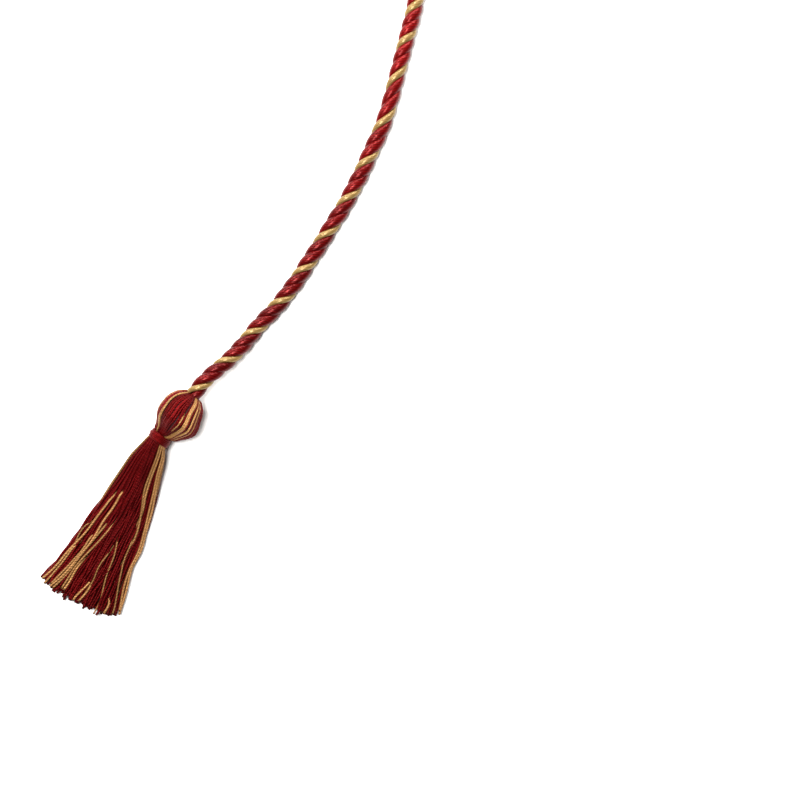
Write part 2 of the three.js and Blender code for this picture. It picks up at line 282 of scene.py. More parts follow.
def section_curve(name, corners):
    """The closed outline that a line of yarn is given, one millimetre in radius."""
    data = bpy.data.curves.new(name, "CURVE")
    data.dimensions = "2D"
    spline = data.splines.new("POLY")
    spline.points.add(len(corners) - 1)
    for point, (x, y) in zip(spline.points, corners):
        point.co = (x * MM, y * MM, 0, 1)
    spline.use_cyclic_u = True
    section = bpy.data.objects.new(name, data)
    bpy.context.scene.collection.objects.link(section)
    return section


def spun_piece(name, yarns, corners, finishes, twist_mode="MINIMUM"):
    """Lines of yarn as one mesh of closed tubes, with each ring's tint and place along."""
    section = section_curve(name + "_section", corners)
    data = bpy.data.curves.new(name, "CURVE")
    data.dimensions = "3D"
    data.bevel_mode = "OBJECT"
    data.bevel_object = section
    data.use_fill_caps = True
    data.twist_mode = twist_mode
    for finish in finishes:
        data.materials.append(finish)
    for yarn in yarns:
        spline = data.splines.new("POLY")
        spline.points.add(len(yarn.points) - 1)
        spline.material_index = yarn.colour
        places = np.column_stack([yarn.points * MM, np.ones(len(yarn.points))])
        spline.points.foreach_set("co", places.ravel())
        spline.points.foreach_set("radius", yarn.radius)
        spline.points.foreach_set("tilt", yarn.tilt)
    line_object = bpy.data.objects.new(name + "_lines", data)
    bpy.context.scene.collection.objects.link(line_object)
    depsgraph = bpy.context.evaluated_depsgraph_get()
    evaluated = line_object.evaluated_get(depsgraph)
    mesh = bpy.data.meshes.new_from_object(evaluated, depsgraph=depsgraph)
    mesh.name = name
    # The ends come first in the mesh, last line first, and then the tubes in order.
    sides = len(corners)
    reached = [distances(yarn.points) for yarn in yarns]
    for label, ends, rings in (
        ("tint", [[yarn.tint[0], yarn.tint[-1]] for yarn in yarns], [yarn.tint for yarn in yarns]),
        ("along", [[reach[0], reach[-1]] for reach in reached], reached),
    ):
        values = np.repeat(np.concatenate([*ends[::-1], *rings]), sides)
        attribute = mesh.attributes.new(label, "FLOAT", "POINT")
        attribute.data.foreach_set("value", values.astype(np.float32))
    for spare in (line_object, section):
        bpy.data.objects.remove(spare)
    shell = bmesh.new()
    shell.from_mesh(mesh)
    bmesh.ops.remove_doubles(shell, verts=shell.verts, dist=0.0001 * MM)
    bmesh.ops.recalc_face_normals(shell, faces=shell.faces)
    shell.to_mesh(mesh)
    shell.free()
    piece = bpy.data.objects.new(name, mesh)
    bpy.context.scene.collection.objects.link(piece)
    return piece


def hand_over(piece, slot, *nodes):
    """A finished piece rides with the cord and stands for solids, which it hides."""
    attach(piece, "root")
    if nodes:
        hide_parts(*nodes)


# The finishes


class Socket:
    """An output of a material's node, which Python's operators work on."""

    def __init__(self, finish, output):
        self.finish = finish
        self.output = output

    def math(self, operation, *others):
        return self.finish.node("ShaderNodeMath", {"operation": operation}, [self, *others])

    def __add__(self, other):
        return self.math("ADD", other)

    def __mul__(self, other):
        return self.math("MULTIPLY", other)

    def __sub__(self, other):
        return self.math("SUBTRACT", other)

    def __rsub__(self, other):
        return self.finish.node("ShaderNodeMath", {"operation": "SUBTRACT"}, [other, self])


class Finish:
    """A material in the making."""

    def __init__(self, name):
        self.material = bpy.data.materials.new(name)
        self.material.use_nodes = True
        self.tree = self.material.node_tree
        self.shader = self.tree.nodes["Principled BSDF"]

    def node(self, kind, settings=(), values=(), output=0):
        """Any node: its settings first, then the values or links of its sockets."""
        made = self.tree.nodes.new(kind)
        for name, value in dict(settings).items():
            setattr(made, name, value)
        rows = values.items() if isinstance(values, dict) else enumerate(values)
        for name, value in rows:
            self.join(made.inputs[name], value)
        return Socket(self, made.outputs[output])

    def join(self, socket, value):
        if isinstance(value, Socket):
            self.tree.links.new(value.output, socket)
        else:
            socket.default_value = value

    def mixed(self, share, low, high):
        """A colour between two others."""
        return self.node("ShaderNodeMix", {"data_type": "RGBA"}, {0: share, 6: low, 7: high}, 2)

    def noise(self, vector, scale, detail=2.0, rough=0.5):
        values = {"Vector": vector, "Scale": scale, "Detail": detail, "Roughness": rough}
        return self.node("ShaderNodeTexNoise", {}, values)

    def ramp(self, value, low, high):
        """A value's share of the way from low to high, kept from 0 to 1."""
        settings = {"interpolation_type": "SMOOTHSTEP"}
        return self.node("ShaderNodeMapRange", settings, {0: value, 1: low, 2: high})


# The fibres' noise: its scale, detail and roughness round a yarn, and how it stretches along
# it and changes with the tint. Streaks are its lighter fibres, patches its slow changes.
FIBRES = (6.0, 3.0, 0.65)
PATCHES = (1.3, 2.0)
STREAKS = (0.35, 0.68)
STRETCH = 0.05
CHANGE_BY_TINT = 20
WAVER = 4
# What makes a fibre light, and how dull and how high the streaks and fibres are
STREAK_LIGHT = 0.4
TINT_LIGHT = 0.55
PATCH_LIGHT = 0.5
DARKNESS = 0.22
# The curve of the painted shade in the grooves between strands
GROOVE_SHADE_CURVE = 0.6
STREAK_GLOSS = 0.1
FIBRE_RELIEF = 0.3


def rayon(name, deep, bright, sheen, gleam, ridges, lay, groove, depth, shine, rough):
    """Shining rayon fibres along a line of yarn.

    Its colour lies between deep and bright, and sheen is the colour of its highlights, gleam
    their strength, shine how metallic and rough how dull they are. ridges is the number of
    strands side by side round it, lay the millimetres in which they turn once round it,
    groove how much painted shade darkens its colour between them, and depth how deep, in
    millimetres, it is between them.
    """
    finish = Finish(name)
    along = finish.node("ShaderNodeAttribute", {"attribute_name": "along"}, {}, 2)
    tint = finish.node("ShaderNodeAttribute", {"attribute_name": "tint"}, {}, 2)
    uv = finish.node("ShaderNodeUVMap", {"uv_map": "UVMap"})
    around = finish.node("ShaderNodeSeparateXYZ", {}, [uv], 1)
    turn = (around + along * (1 / lay)) * math.tau
    third = along * STRETCH + tint * CHANGE_BY_TINT
    place = finish.node("ShaderNodeCombineXYZ", {}, [turn.math("COSINE"), turn.math("SINE"), third])
    fibres = finish.noise(place, *FIBRES)
    patches = finish.noise(place, *PATCHES)
    streaks = finish.ramp(fibres, *STREAKS)
    wave = (turn * ridges + patches * WAVER).math("COSINE") * 0.5 + 0.5
    shade = streaks * STREAK_LIGHT + tint * TINT_LIGHT + patches * PATCH_LIGHT - DARKNESS
    # Painted shade: the colour darkens in the grooves between the strands
    shade = shade * (wave.math("POWER", GROOVE_SHADE_CURVE) * groove + (1 - groove))
    shader = finish.shader
    finish.join(shader.inputs["Base Color"], finish.mixed(shade, deep, bright))
    finish.join(shader.inputs["Roughness"], rough - streaks * STREAK_GLOSS)
    relief = wave.math("SQRT") + fibres * FIBRE_RELIEF
    bump = {"Strength": 1.0, "Distance": depth * MM, "Height": relief}
    finish.join(shader.inputs["Normal"], finish.node("ShaderNodeBump", {}, bump))
    shader.inputs["Metallic"].default_value = shine
    shader.inputs["Specular Tint"].default_value = sheen
    shader.inputs["Specular IOR Level"].default_value = gleam
    return finish.material


DEEP_RED = (0.018, 0.0004, 0.0005, 1)
BRIGHT_RED = (0.165, 0.0028, 0.0032, 1)
# The skirt's red: a darker copy of the same yarn's red, as painted shade
SKIRT_SHADED_DEEP_RED = (0.01, 0.0003, 0.0003, 1)
SKIRT_SHADED_BRIGHT_RED = (0.11, 0.0018, 0.0026, 1)
RED_SHEEN = (1, 0.24, 0.24, 1)
YARN_SHEEN = (1, 0.12, 0.12, 1)
DEEP_GOLD = (0.12, 0.052, 0.01, 1)
BRIGHT_GOLD = (0.62, 0.31, 0.11, 1)
# The skirt's gold: a darker copy of the same yarn's gold, as painted shade
SKIRT_SHADED_DEEP_GOLD = (0.09, 0.036, 0.006, 1)
SKIRT_SHADED_BRIGHT_GOLD = (0.42, 0.2, 0.07, 1)
GOLD_SHEEN = (1, 0.86, 0.6, 1)
ROPE_DEEP_RED = (0.028, 0.0005, 0.0006, 1)
ROPE_BRIGHT_RED = (0.26, 0.005, 0.005, 1)
ROPE_DEEP_GOLD = (0.08, 0.036, 0.007, 1)
ROPE_BRIGHT_GOLD = (0.41, 0.27, 0.095, 1)
SHADED_RED = (0.05, 0.001, 0.004, 1)
SURFACE_PALES = ((0.9, 0.9, 0.9, 1), (0.94, 0.94, 0.94, 1))


def surface_finish():
    """The plain pale surface that the cord lies on."""
    finish = Finish("pale_surface")
    place = finish.node("ShaderNodeTexCoord", {}, {}, 3)
    grain = finish.noise(place, 30.0)
    pale = finish.mixed(grain, *SURFACE_PALES)
    finish.join(finish.shader.inputs["Base Color"], pale)
    finish.shader.inputs["Roughness"].default_value = 0.9
    return finish.material


# The camera, straight above the middle of the view


def add_camera():
    data = bpy.data.cameras.new("camera")
    data.lens = LENS
    data.sensor_width = SENSOR
    camera = bpy.data.objects.new("camera", data)
    bpy.context.scene.collection.objects.link(camera)
    distance = VIEW_WIDTH * LENS / SENSOR + ROPE_RADIUS
    camera.location = Vector((*VIEW_CENTRE, distance)) * MM
    bpy.context.scene.camera = camera


add_camera()


# The rope


def rope_line():
    """The rope's route in millimetres, as the part's source draws it."""
    heights = blend(ROPE_RADIUS, HEAD_HEIGHT, ROUTE[:, 2])
    line = centripetal(np.column_stack([ROUTE[:, :2], heights]), STEPS_PER_POINT)
    line[:, 2] = np.maximum(line[:, 2], ROPE_RADIUS)
    return line


def gold_turns(line, places):
    """How many turns the gold ply has made at given distances along the rope."""
    whole = distances(line)[-1]
    seen = GOLD_CROSSINGS
    counts = np.arange(len(seen)) + 0.25
    before = seen[0] - PLY_PITCH
    beyond = (whole - seen[-1]) / PLY_PITCH
    known = [before, *seen, whole + PLY_PITCH]
    return np.interp(places, known, [counts[0] - 1, *counts, counts[-1] + beyond + 1])


def make_rope():
    line = rope_line()
    whole = distances(line)[-1]
    rings = int(whole / PLY_PITCH * RINGS_PER_TURN)
    places = np.linspace(0, whole, rings)
    middle = along_line(line, places)
    ahead, left, up = frames_along(middle)
    turns = gold_turns(line, places)
    # The pitch changes gently, not at once at a crossing.
    window = np.ones(RINGS_PER_TURN) / RINGS_PER_TURN
    padded = np.pad(turns, RINGS_PER_TURN // 2, mode="reflect", reflect_type="odd")
    turns = np.convolve(padded, window, mode="valid")
    draw = np.random.default_rng(ROPE_SEED)
    changes = np.linspace(0, whole, UNEVEN_PLACES)
    wander = np.interp(places, changes, draw.normal(0, 1, UNEVEN_PLACES))
    plies = []
    later = smooth_step(*PLY_CHANGES, places)
    for angle, size, colour, tint in (
        (0, GOLD_PLY, 1, GOLD_TINT),
        (RED_PLY_ANGLE, RED_PLY, 0, RED_TINTS[0]),
        (-RED_PLY_ANGLE, RED_PLY, 0, RED_TINTS[1]),
    ):
        slack = UNEVEN_ANGLE * np.roll(wander, 5 * (colour + 1))
        theta = 2 * math.pi * turns + angle + slack
        out = left * np.cos(theta)[:, None] + up * np.sin(theta)[:, None]
        thick = blend(*size["radius"], later) * (1 + UNEVEN_THICKNESS * wander)
        points = middle + out * blend(*size["from_axis"], later)[:, None]
        # Both ends run on into the heads.
        points[0] -= ahead[0] * PLY_TAIL
        points[-1] += ahead[-1] * PLY_TAIL
        outwards, sideways = PLY_SECTION
        lowest = thick * np.hypot(outwards * np.sin(theta), sideways * np.cos(theta))
        points[:, 2] = np.maximum(points[:, 2], lowest)
        ply_left, ply_up = frames_along(points)[1:]
        tilt = np.arctan2((out * ply_up).sum(1), (out * ply_left).sum(1))
        shade = tint
        # The red plies are painted darker towards the front tassel, as painted shade
        if size is RED_PLY:
            shade = tint + blend(*RED_PLY_PAINTED_SHADE, smooth_step(*PAINTED_SHADE_CHANGES, places))
        plies.append(Yarn(points, thick, colour=colour, tint=shade, tilt=tilt))
    # The core fills what the plies leave open between them. Its low tint paints it dark, as painted
    # shade between the plies.
    plies.append(Yarn(middle, CORE_RADIUS, tint=CORE_SHADE_TINT))
    steps = math.tau * np.arange(PLY_SIDES) / PLY_SIDES
    corners = np.column_stack([np.cos(steps), np.sin(steps)]) * PLY_SECTION
    finishes = [
        rayon(
            "red_ply", ROPE_DEEP_RED, ROPE_BRIGHT_RED, RED_SHEEN, gleam=0.4, ridges=11,
            lay=PLY_LAY, groove=0.8, depth=0.035, shine=0.15, rough=0.34,
        ),
        rayon(
            "gold_ply", ROPE_DEEP_GOLD, ROPE_BRIGHT_GOLD, GOLD_SHEEN, gleam=0.6, ridges=10,
            lay=PLY_LAY, groove=0.6, depth=0.04, shine=0.2, rough=0.34,
        ),
    ]
    rope = spun_piece("twisted_rope", plies, corners, finishes, "Z_UP")
    hand_over(rope, "twisted_rope", "rope")


make_rope()


# The tassels


# How far before and after the neck's ends a tassel's line has turned
TURN_EASE = 2.0


class Placing:
    """Where a tassel lies: its line starts at the rope's end and turns at its neck."""

    def __init__(self, swing, bow, side, seed, end, before):
        self.swing = math.radians(swing)
        self.bow = bow
        self.side = side
        self.seed = seed
        heading = ROUTE[end, :2] - ROUTE[before, :2]
        self.heading = heading / np.linalg.norm(heading)
        self.start = ROUTE[end, :2] + self.heading * GAP

    def points(self, along, across, height):
        """Points by how far they lie along the tassel, to its right and above the surface."""
        along, across, height = np.broadcast_arrays(along, across, height)
        across = across * self.side
        in_head = np.minimum(along, HEAD_LENGTH)
        in_neck = np.clip(along - HEAD_LENGTH, 0, NECK_LENGTH)
        in_skirt = np.maximum(0, along - SKIRT_START)
        turn = self.swing * blend(
            0.5 * smooth_step(HEAD_LENGTH - TURN_EASE, HEAD_LENGTH + TURN_EASE, along), 1,
            smooth_step(SKIRT_START - TURN_EASE, SKIRT_START + TURN_EASE, along),
        )
        half = self.swing / 2
        x = in_head + in_neck * math.cos(half) + in_skirt * math.cos(self.swing)
        y = in_neck * math.sin(half) + in_skirt * math.sin(self.swing)
        x = x - across * np.sin(turn)
        y = y + across * np.cos(turn)
        ahead, beside = self.heading, np.array([-self.heading[1], self.heading[0]])
        flat = self.start + x[..., None] * ahead + y[..., None] * beside
        return np.concatenate([flat, height[..., None]], axis=-1)


def spaced(line, step):
    reach = distances(line)[-1]
    return along_line(line, np.linspace(0, reach, max(3, int(reach / step))))


def skirt_room(places):
    """The skirt's middle, half width, height and half thickness at distances from the neck."""
    left, right = by_distance(SKIRT_LEFT, places), by_distance(SKIRT_RIGHT, places)
    thick = blend(NECK_RADIUS, SKIRT_HALF_THICKNESS, by_distance(SKIRT_THICK, places))
    height = blend(NECK_HEIGHT, thick - SETTLE, by_distance(SKIRT_DOWN, places))
    return (right - left) / 2, (right + left) / 2, height, thick


# A gold strand on top comes up over this stretch before and after the place where it is
# first seen, unless that is near the neck, and goes under again unless it is seen to its end.
COMES_UP = (5, 2)
NEAR_NECK = 5
GOES_UNDER = (1, 14)
NEAR_END = 72
HIDDEN_DEPTH = 2.4
HIDDEN_INSET = 0.15
EDGE_SHARE = 0.97


def on_top(strand, places, room):
    """A gold strand's line: under the others before it is first seen, then on their top."""
    middle, half, height, thick = room
    seen_from, seen_to = strand[0][0], strand[-1][0]
    share_in = strand[0][1] - np.interp(seen_from, places, middle)
    share_in /= np.interp(seen_from, places, half)
    share_out = strand[-1][1] - np.interp(seen_to, places, middle)
    share_out /= np.interp(seen_to, places, half)
    across = by_distance(strand, places)
    across = np.where(places < seen_from, middle + share_in * half, across)
    across = np.where(places > seen_to, middle + share_out * half, across)
    share = np.clip((across - middle) / half, -EDGE_SHARE, EDGE_SHARE)
    top = height + (thick - YARN_RADIUS) * np.sqrt(1 - share**2)
    hidden = 1 - smooth_step(seen_from - COMES_UP[0], seen_from + COMES_UP[1], places)
    if seen_from < NEAR_NECK:
        hidden = 0 * hidden
    if seen_to < NEAR_END:
        under = smooth_step(seen_to - GOES_UNDER[0], seen_to + GOES_UNDER[1], places)
        hidden = np.maximum(hidden, under)
    share = share * (1 - HIDDEN_INSET * hidden)
    return np.stack([middle + share * half, top - HIDDEN_DEPTH * hidden], axis=1)


# How the skirt's strands are packed: how far they reach into the binding and past the ends,
# how far they wander, how much of the section they fill, the least and most room for each in
# yarn radii, how strongly they move apart, straighten and gather in locks, and how square
# the section is
ROOT = -3.4
PAST_ENDS = 3
WANDER = 0.13
FILLED = 0.92
ROW_HEIGHT = 0.866
LEAST_ROOM = 1.4
MOST_ROOM = 2.5
PUSH_SHARE = 0.3
STRAIGHTEN_SHARE = 0.18
GATHER_SHARE = 0.012
GATHER_FROM, GATHER_TO = 20, 60
SQUARENESS = 2.6
FURROW_SWAY = 0.8
FURROW_BEND = 25


def packed_strands(draw):
    """The skirt's strands, pushed apart until each has its own place in every section."""
    places = np.linspace(ROOT, SKIRT_LENGTH + PAST_ENDS, STATIONS)
    room = skirt_room(places)
    middle, half, height, thick = room
    tops = np.array([on_top(strand, places, room) for strand in TOP_GOLDS + FINE_GOLDS])
    loose = RED_STRANDS + UNDER_GOLDS
    spin = np.arange(loose) * math.pi * (3 - math.sqrt(5)) + draw.uniform(0, math.tau)
    reach = np.sqrt((np.arange(loose) + 0.5) / loose)
    start = np.stack([reach * np.cos(spin), reach * np.sin(spin)], axis=1)
    free = smooth_step(0, SKIRT_LENGTH, places)[None, :, None]
    share = start[:, None] + draw.normal(0, WANDER, start.shape)[:, None] * free
    strands = np.stack([middle + share[..., 0] * half, height + share[..., 1] * thick], axis=2)
    layer = np.where(start[:, 1] > 0, LOCKS, 0)
    lock_of = np.floor((start[:, 0] + 1) / 2 * LOCKS / 2) + layer
    area = math.pi * half * thick * FILLED
    spacing = np.sqrt(area / (ROW_HEIGHT * (loose + len(tops))))
    spacing = np.clip(spacing, LEAST_ROOM * YARN_RADIUS, MOST_ROOM * YARN_RADIUS)
    inset_half, inset_thick = half - YARN_RADIUS, thick - YARN_RADIUS
    gather = GATHER_SHARE * smooth_step(GATHER_FROM, GATHER_TO, places)
    furrow_start = draw.uniform(0, math.tau)
    furrow_bend = np.sin(places / FURROW_BEND + draw.uniform(0, math.tau))
    furrow_sway = furrow_start + FURROW_SWAY * furrow_bend
    for _ in range(PACKING_ROUNDS):
        every = np.concatenate([strands, tops])
        apart = strands[:, None] - every[None]
        gap = np.sqrt((apart**2).sum(-1)) + 1e-6
        push = np.clip(spacing - gap, 0, None) * (gap > 1e-5)
        strands = strands + PUSH_SHARE * (apart / gap[..., None] * push[..., None]).sum(1)
        for lock in np.unique(lock_of):
            inside = lock_of == lock
            centre = strands[inside, :, 0].mean(0)
            strands[inside, :, 0] += gather * (centre - strands[inside, :, 0])
        # Places in the section from -1 to 1, across it and up
        across = (strands[..., 0] - middle) / inset_half
        rise = (strands[..., 1] - height) / inset_thick
        off = np.stack([across, rise], 2)
        off[:, 1:-1] += STRAIGHTEN_SHARE * (off[:, :-2] + off[:, 2:] - 2 * off[:, 1:-1])
        across, rise = off[..., 0], off[..., 1]
        wave = 0.5 + 0.5 * np.cos(math.pi * LOCKS * across + furrow_sway)
        furrow = 1 + FURROW_DEPTH * wave**2
        bounded = np.stack([across, np.where(rise > 0, rise * furrow, rise)], 2)
        out = (np.abs(bounded) ** SQUARENESS).sum(-1) ** (1 / SQUARENESS)
        out = np.maximum(1, out)
        strands[..., 0] = middle + across / out * inset_half
        strands[..., 1] = np.maximum(height + rise / out * inset_thick, YARN_RADIUS)
    return places, strands, tops, lock_of


# A skirt strand's end, its two gentle waves from where it is free, and how thick it is: near
# the neck, from strand to strand, and where it is one of the fine gold ones
END_SCATTER = 0.9
FREE_FROM, FREE_TO = 4, 45
WAVE_LENGTHS = (16, 38)
WAVE_ACROSS = 0.28
WAVE_UP = 0.15
WAVE_UP_LENGTH = 0.7
THIN_AT_NECK = 0.74
FULL_FROM, FULL_TO = -2, 12
THICKNESSES = (0.93, 1.07)
FINE_THICKNESS = 0.75
FINE_TINT = 0.2
PRESSED_RADIUS = 0.9 * YARN_RADIUS


def skirt_yarns(placing, draw):
    """The skirt's strands as yarns: red ones and gold ones."""
    places, strands, tops, lock_of = packed_strands(draw)
    lock_tint = draw.uniform(0, 1, 2 * LOCKS + 2)
    first_fine = len(strands) + len(TOP_GOLDS)
    reds, golds = [], []
    for index, strand in enumerate(np.concatenate([strands, tops])):
        is_top = index >= len(strands)
        is_low = strand[-1, 1] < SKIRT_HALF_THICKNESS / 2
        is_gold = is_top or is_low and len(golds) < UNDER_GOLDS
        end = by_distance(SKIRT_ENDS, strand[-3, 0]) + draw.normal(0, END_SCATTER)
        fine = np.arange(places[0], end, YARN_STEP)
        smooth = centripetal(np.column_stack([places, strand]), 8)
        across = np.interp(fine, smooth[:, 0], smooth[:, 1])
        height = np.interp(fine, smooth[:, 0], smooth[:, 2])
        free = smooth_step(FREE_FROM, FREE_TO, fine)
        wave = draw.uniform(*WAVE_LENGTHS)
        phase = draw.uniform(0, math.tau)
        turn = math.tau * fine / wave
        across += WAVE_ACROSS * free * np.sin(turn + phase)
        height += WAVE_UP * free * np.sin(turn / WAVE_UP_LENGTH + 2 * phase)
        height = np.maximum(height, PRESSED_RADIUS)
        full = blend(THIN_AT_NECK, 1, smooth_step(FULL_FROM, FULL_TO, fine))
        radius = YARN_RADIUS * full * draw.uniform(*THICKNESSES)
        if index >= first_fine:
            radius = FINE_THICKNESS * radius
        points = placing.points(SKIRT_START + fine, across, height)
        tint = draw.uniform(0, 1)
        if not is_top:
            tint = 0.5 * tint + 0.5 * lock_tint[int(lock_of[index])]
        if index >= first_fine:
            tint = FINE_TINT * tint
        (golds if is_gold else reds).append(Yarn(points, radius, tint=tint))
    return reds, golds


def head_place(share, wide, side_angle, depth):
    """A point of the head's skin: its place along, across and above the surface."""
    radius = wide * HEAD_RADIUS - depth
    drop = smooth_step(HEAD_WAIST, 1, share)
    height = blend(HEAD_HEIGHT, NECK_HEIGHT, drop) + radius * np.sin(side_angle)
    return share * HEAD_LENGTH, radius * np.cos(side_angle), np.maximum(height, YARN_RADIUS)


HEAD_OUTLINE = centripetal(np.array([(*place, 0) for place in HEAD_LINE]), 10)
# The first of the outline's points at which the yarn has folded back over the head
FOLDED = 20


# A head yarn lies full and ribbed between these shares of the head's length. It sways a
# little, keeps to the ribs' backs, and crowds under its neighbours where there is less room.
RIBS_START, RIBS_FULL = 0, 0.25
RIBS_LEAVE, RIBS_END = 0.75, 1.02
HEAD_SWAY = 0.03
RIB_LEVEL = 1.2
RIB_BUNCHING = 0.02
CROWDING = 0.7
HEAD_YARN_FULLNESS = 1.15
HEAD_YARN_RADII = (0.62 * YARN_RADIUS, 1.08 * YARN_RADIUS)


def head_yarn(placing, side, draw, tint, lift=0.0, thick=1.0):
    """One yarn over the head, from the rope to inside the binding."""
    share, wide = HEAD_OUTLINE[:, 0], HEAD_OUTLINE[:, 1]
    angle = math.radians(side)
    full = smooth_step(RIBS_START, RIBS_FULL, share)
    full = full * (1 - smooth_step(RIBS_LEAVE, RIBS_END, share))
    sway = HEAD_SWAY * np.sin(math.pi * share + draw.uniform(0, math.tau)) * full
    phases = [count * math.radians(side - ridge) for count, ridge in HEAD_RIBS]
    waves, slopes = np.cos(phases), np.sin(phases)
    groove = RIB_DEPTH * (RIB_LEVEL - sum(waves) / 2) * full
    bunch = -RIB_BUNCHING * sum(slopes) * full
    crowd = (1 - full) * draw.uniform(0, CROWDING)
    depth = YARN_RADIUS + np.maximum(groove, 0) + crowd - lift
    along, across, height = head_place(share, wide, angle + sway + bunch, depth)
    across = across + placing.bow * by_distance(HEAD_BOW, share)
    points = spaced(placing.points(along, across, height), YARN_STEP)
    reached = distances(HEAD_OUTLINE[:, :2] * (HEAD_LENGTH, HEAD_RADIUS))
    here = np.interp(np.linspace(0, reached[-1], len(points)), reached, wide)
    room = math.tau * here * HEAD_RADIUS / HEAD_YARNS / 2
    radius = thick * np.clip(room * HEAD_YARN_FULLNESS, *HEAD_YARN_RADII)
    return Yarn(points, radius, tint=tint)


def head_yarns(placing, draw):
    reds, golds = [], []
    for number in range(HEAD_YARNS):
        side = 360 * number / HEAD_YARNS
        bucket = golds if round(side) in HEAD_GOLDS else reds
        tint = 0.5 * draw.uniform(0, 1) + 0.25 + 0.25 * math.cos(7 * math.radians(side))
        bucket.append(head_yarn(placing, side + draw.normal(0, 0.5), draw, tint))
    along = HEAD_OUTLINE[:, 0] * HEAD_LENGTH
    near = smooth_step(STRAY_GOLD["start"] - 3, STRAY_GOLD["start"] + 1, along)
    far = 1 - smooth_step(STRAY_GOLD["end"] - 1, STRAY_GOLD["end"] + 3, along)
    lift = STRAY_LIFT * near * far - STRAY_DEPTH
    side, tint, thick = (STRAY_GOLD[key] for key in ("side", "tint", "thick"))
    golds.append(head_yarn(placing, side, draw, tint, lift, thick))
    return reds, golds


# The bundle's inside: how deep it lies, its sides, and every which of the outline's points
# it has
CORE_INSET = 3 * YARN_RADIUS
CORE_SIDES = 40
CORE_EVERY = 4


def head_core(name, placing, finish):
    """The bundle's solid inside, in painted shade, which shows only as shade between the head's yarns.
    """
    share = HEAD_OUTLINE[FOLDED::CORE_EVERY, 0]
    radius = HEAD_OUTLINE[FOLDED::CORE_EVERY, 1] * HEAD_RADIUS - CORE_INSET
    angle = math.tau * np.arange(CORE_SIDES) / CORE_SIDES
    # Rings of corners, with one more corner in the middle of each end
    x = np.concatenate([[share[0]], np.repeat(share, CORE_SIDES), [share[-1]]]) * HEAD_LENGTH
    y = np.concatenate([[0], np.outer(radius, np.cos(angle)).ravel(), [0]])
    z = np.concatenate([[0], np.outer(radius, np.sin(angle)).ravel(), [0]])
    drop = smooth_step(HEAD_WAIST, 1, x / HEAD_LENGTH)
    height = np.maximum(z + blend(HEAD_HEIGHT, NECK_HEIGHT, drop), YARN_RADIUS)
    bow = placing.bow * by_distance(HEAD_BOW, x / HEAD_LENGTH)
    corners = placing.points(x, y + bow, height) * MM
    ring = 1 + np.arange(CORE_SIDES)
    beside = np.roll(ring, -1)
    last = len(x) - 1
    faces = [(0, b, a) for a, b in zip(ring.tolist(), beside.tolist())]
    for start in range(0, last - 1 - CORE_SIDES, CORE_SIDES):
        low, low_beside = ring + start, beside + start
        high, high_beside = low + CORE_SIDES, low_beside + CORE_SIDES
        faces += np.column_stack([low, low_beside, high_beside, high]).tolist()
    ahead = last - 1 - CORE_SIDES
    faces += [(last, a + ahead, b + ahead) for a, b in zip(ring.tolist(), beside.tolist())]
    mesh = bpy.data.meshes.new(name)
    mesh.from_pydata(corners.tolist(), [], faces)
    core = bmesh.new()
    core.from_mesh(mesh)
    bmesh.ops.recalc_face_normals(core, faces=core.faces)
    core.to_mesh(mesh)
    core.free()
    for face in mesh.polygons:
        face.use_smooth = True
    mesh.materials.append(finish)
    piece = bpy.data.objects.new(name, mesh)
    bpy.context.scene.collection.objects.link(piece)
    return piece


def core_finish():
    """The matt dark red of yarn in shade, painted on the bundle's inside."""
    finish = Finish("inner_yarn_painted_shade")
    place = finish.node("ShaderNodeTexCoord", {}, {}, 3)
    fibres = finish.noise(place, 900.0)
    shade = finish.mixed(fibres, SHADED_RED, DEEP_RED)
    finish.join(finish.shader.inputs["Base Color"], shade)
    finish.shader.inputs["Roughness"].default_value = 0.8
    return finish.material


# The binding: its turns, how unevenly they lie, and the two stretches that cross them
THREAD_TURNS = 5
STEPS_PER_TURN = 44
UNEVEN_TURNS = 0.08
UNEVEN_PER_TURN = 3.3
CROSSING_STEPS = 60
CROSSING_ANGLE = 1.1 * math.pi
CROSSING_STARTS = (0.5, 1.5)
THREAD_FULLNESS = 1.05


def binding_yarn(placing, draw):
    """The thread that binds the neck: turns side by side, and two stretches that cross them."""
    share = np.linspace(0, 1, THREAD_TURNS * STEPS_PER_TURN)
    angle = math.tau * THREAD_TURNS * share
    along = (share - 0.5) * (BINDING_WIDTH - 2 * BINDING_THREAD_RADIUS)
    radius = NECK_RADIUS + GAP + BINDING_THREAD_RADIUS
    uneven = np.sin(UNEVEN_PER_TURN * angle + draw.uniform(0, math.tau))
    radius = radius + UNEVEN_TURNS * uneven
    lines = [(along, radius, angle)]
    for lean in (1, -1):
        part = np.linspace(0, 1, CROSSING_STEPS)
        over = BINDING_THREAD_RADIUS * 1.1 * np.sin(math.pi * part)
        cross = lean * (part - 0.5) * (BINDING_WIDTH - 2)
        angle = draw.uniform(*CROSSING_STARTS) + CROSSING_ANGLE * part
        lines.append((cross, radius[0] + over, angle))
    yarns = []
    middle = HEAD_LENGTH + NECK_LENGTH / 2
    for along, radius, angle in lines:
        across = radius * np.cos(angle)
        height = NECK_HEIGHT + radius * np.sin(angle)
        lean_along = middle + along + BINDING_LEAN * across
        points = placing.points(lean_along, across + NECK_BOW * placing.bow, height)
        points = spaced(points, YARN_STEP)
        tint = draw.uniform(0.3, 0.8)
        yarns.append(Yarn(points, BINDING_THREAD_RADIUS * THREAD_FULLNESS, tint=tint))
    return yarns


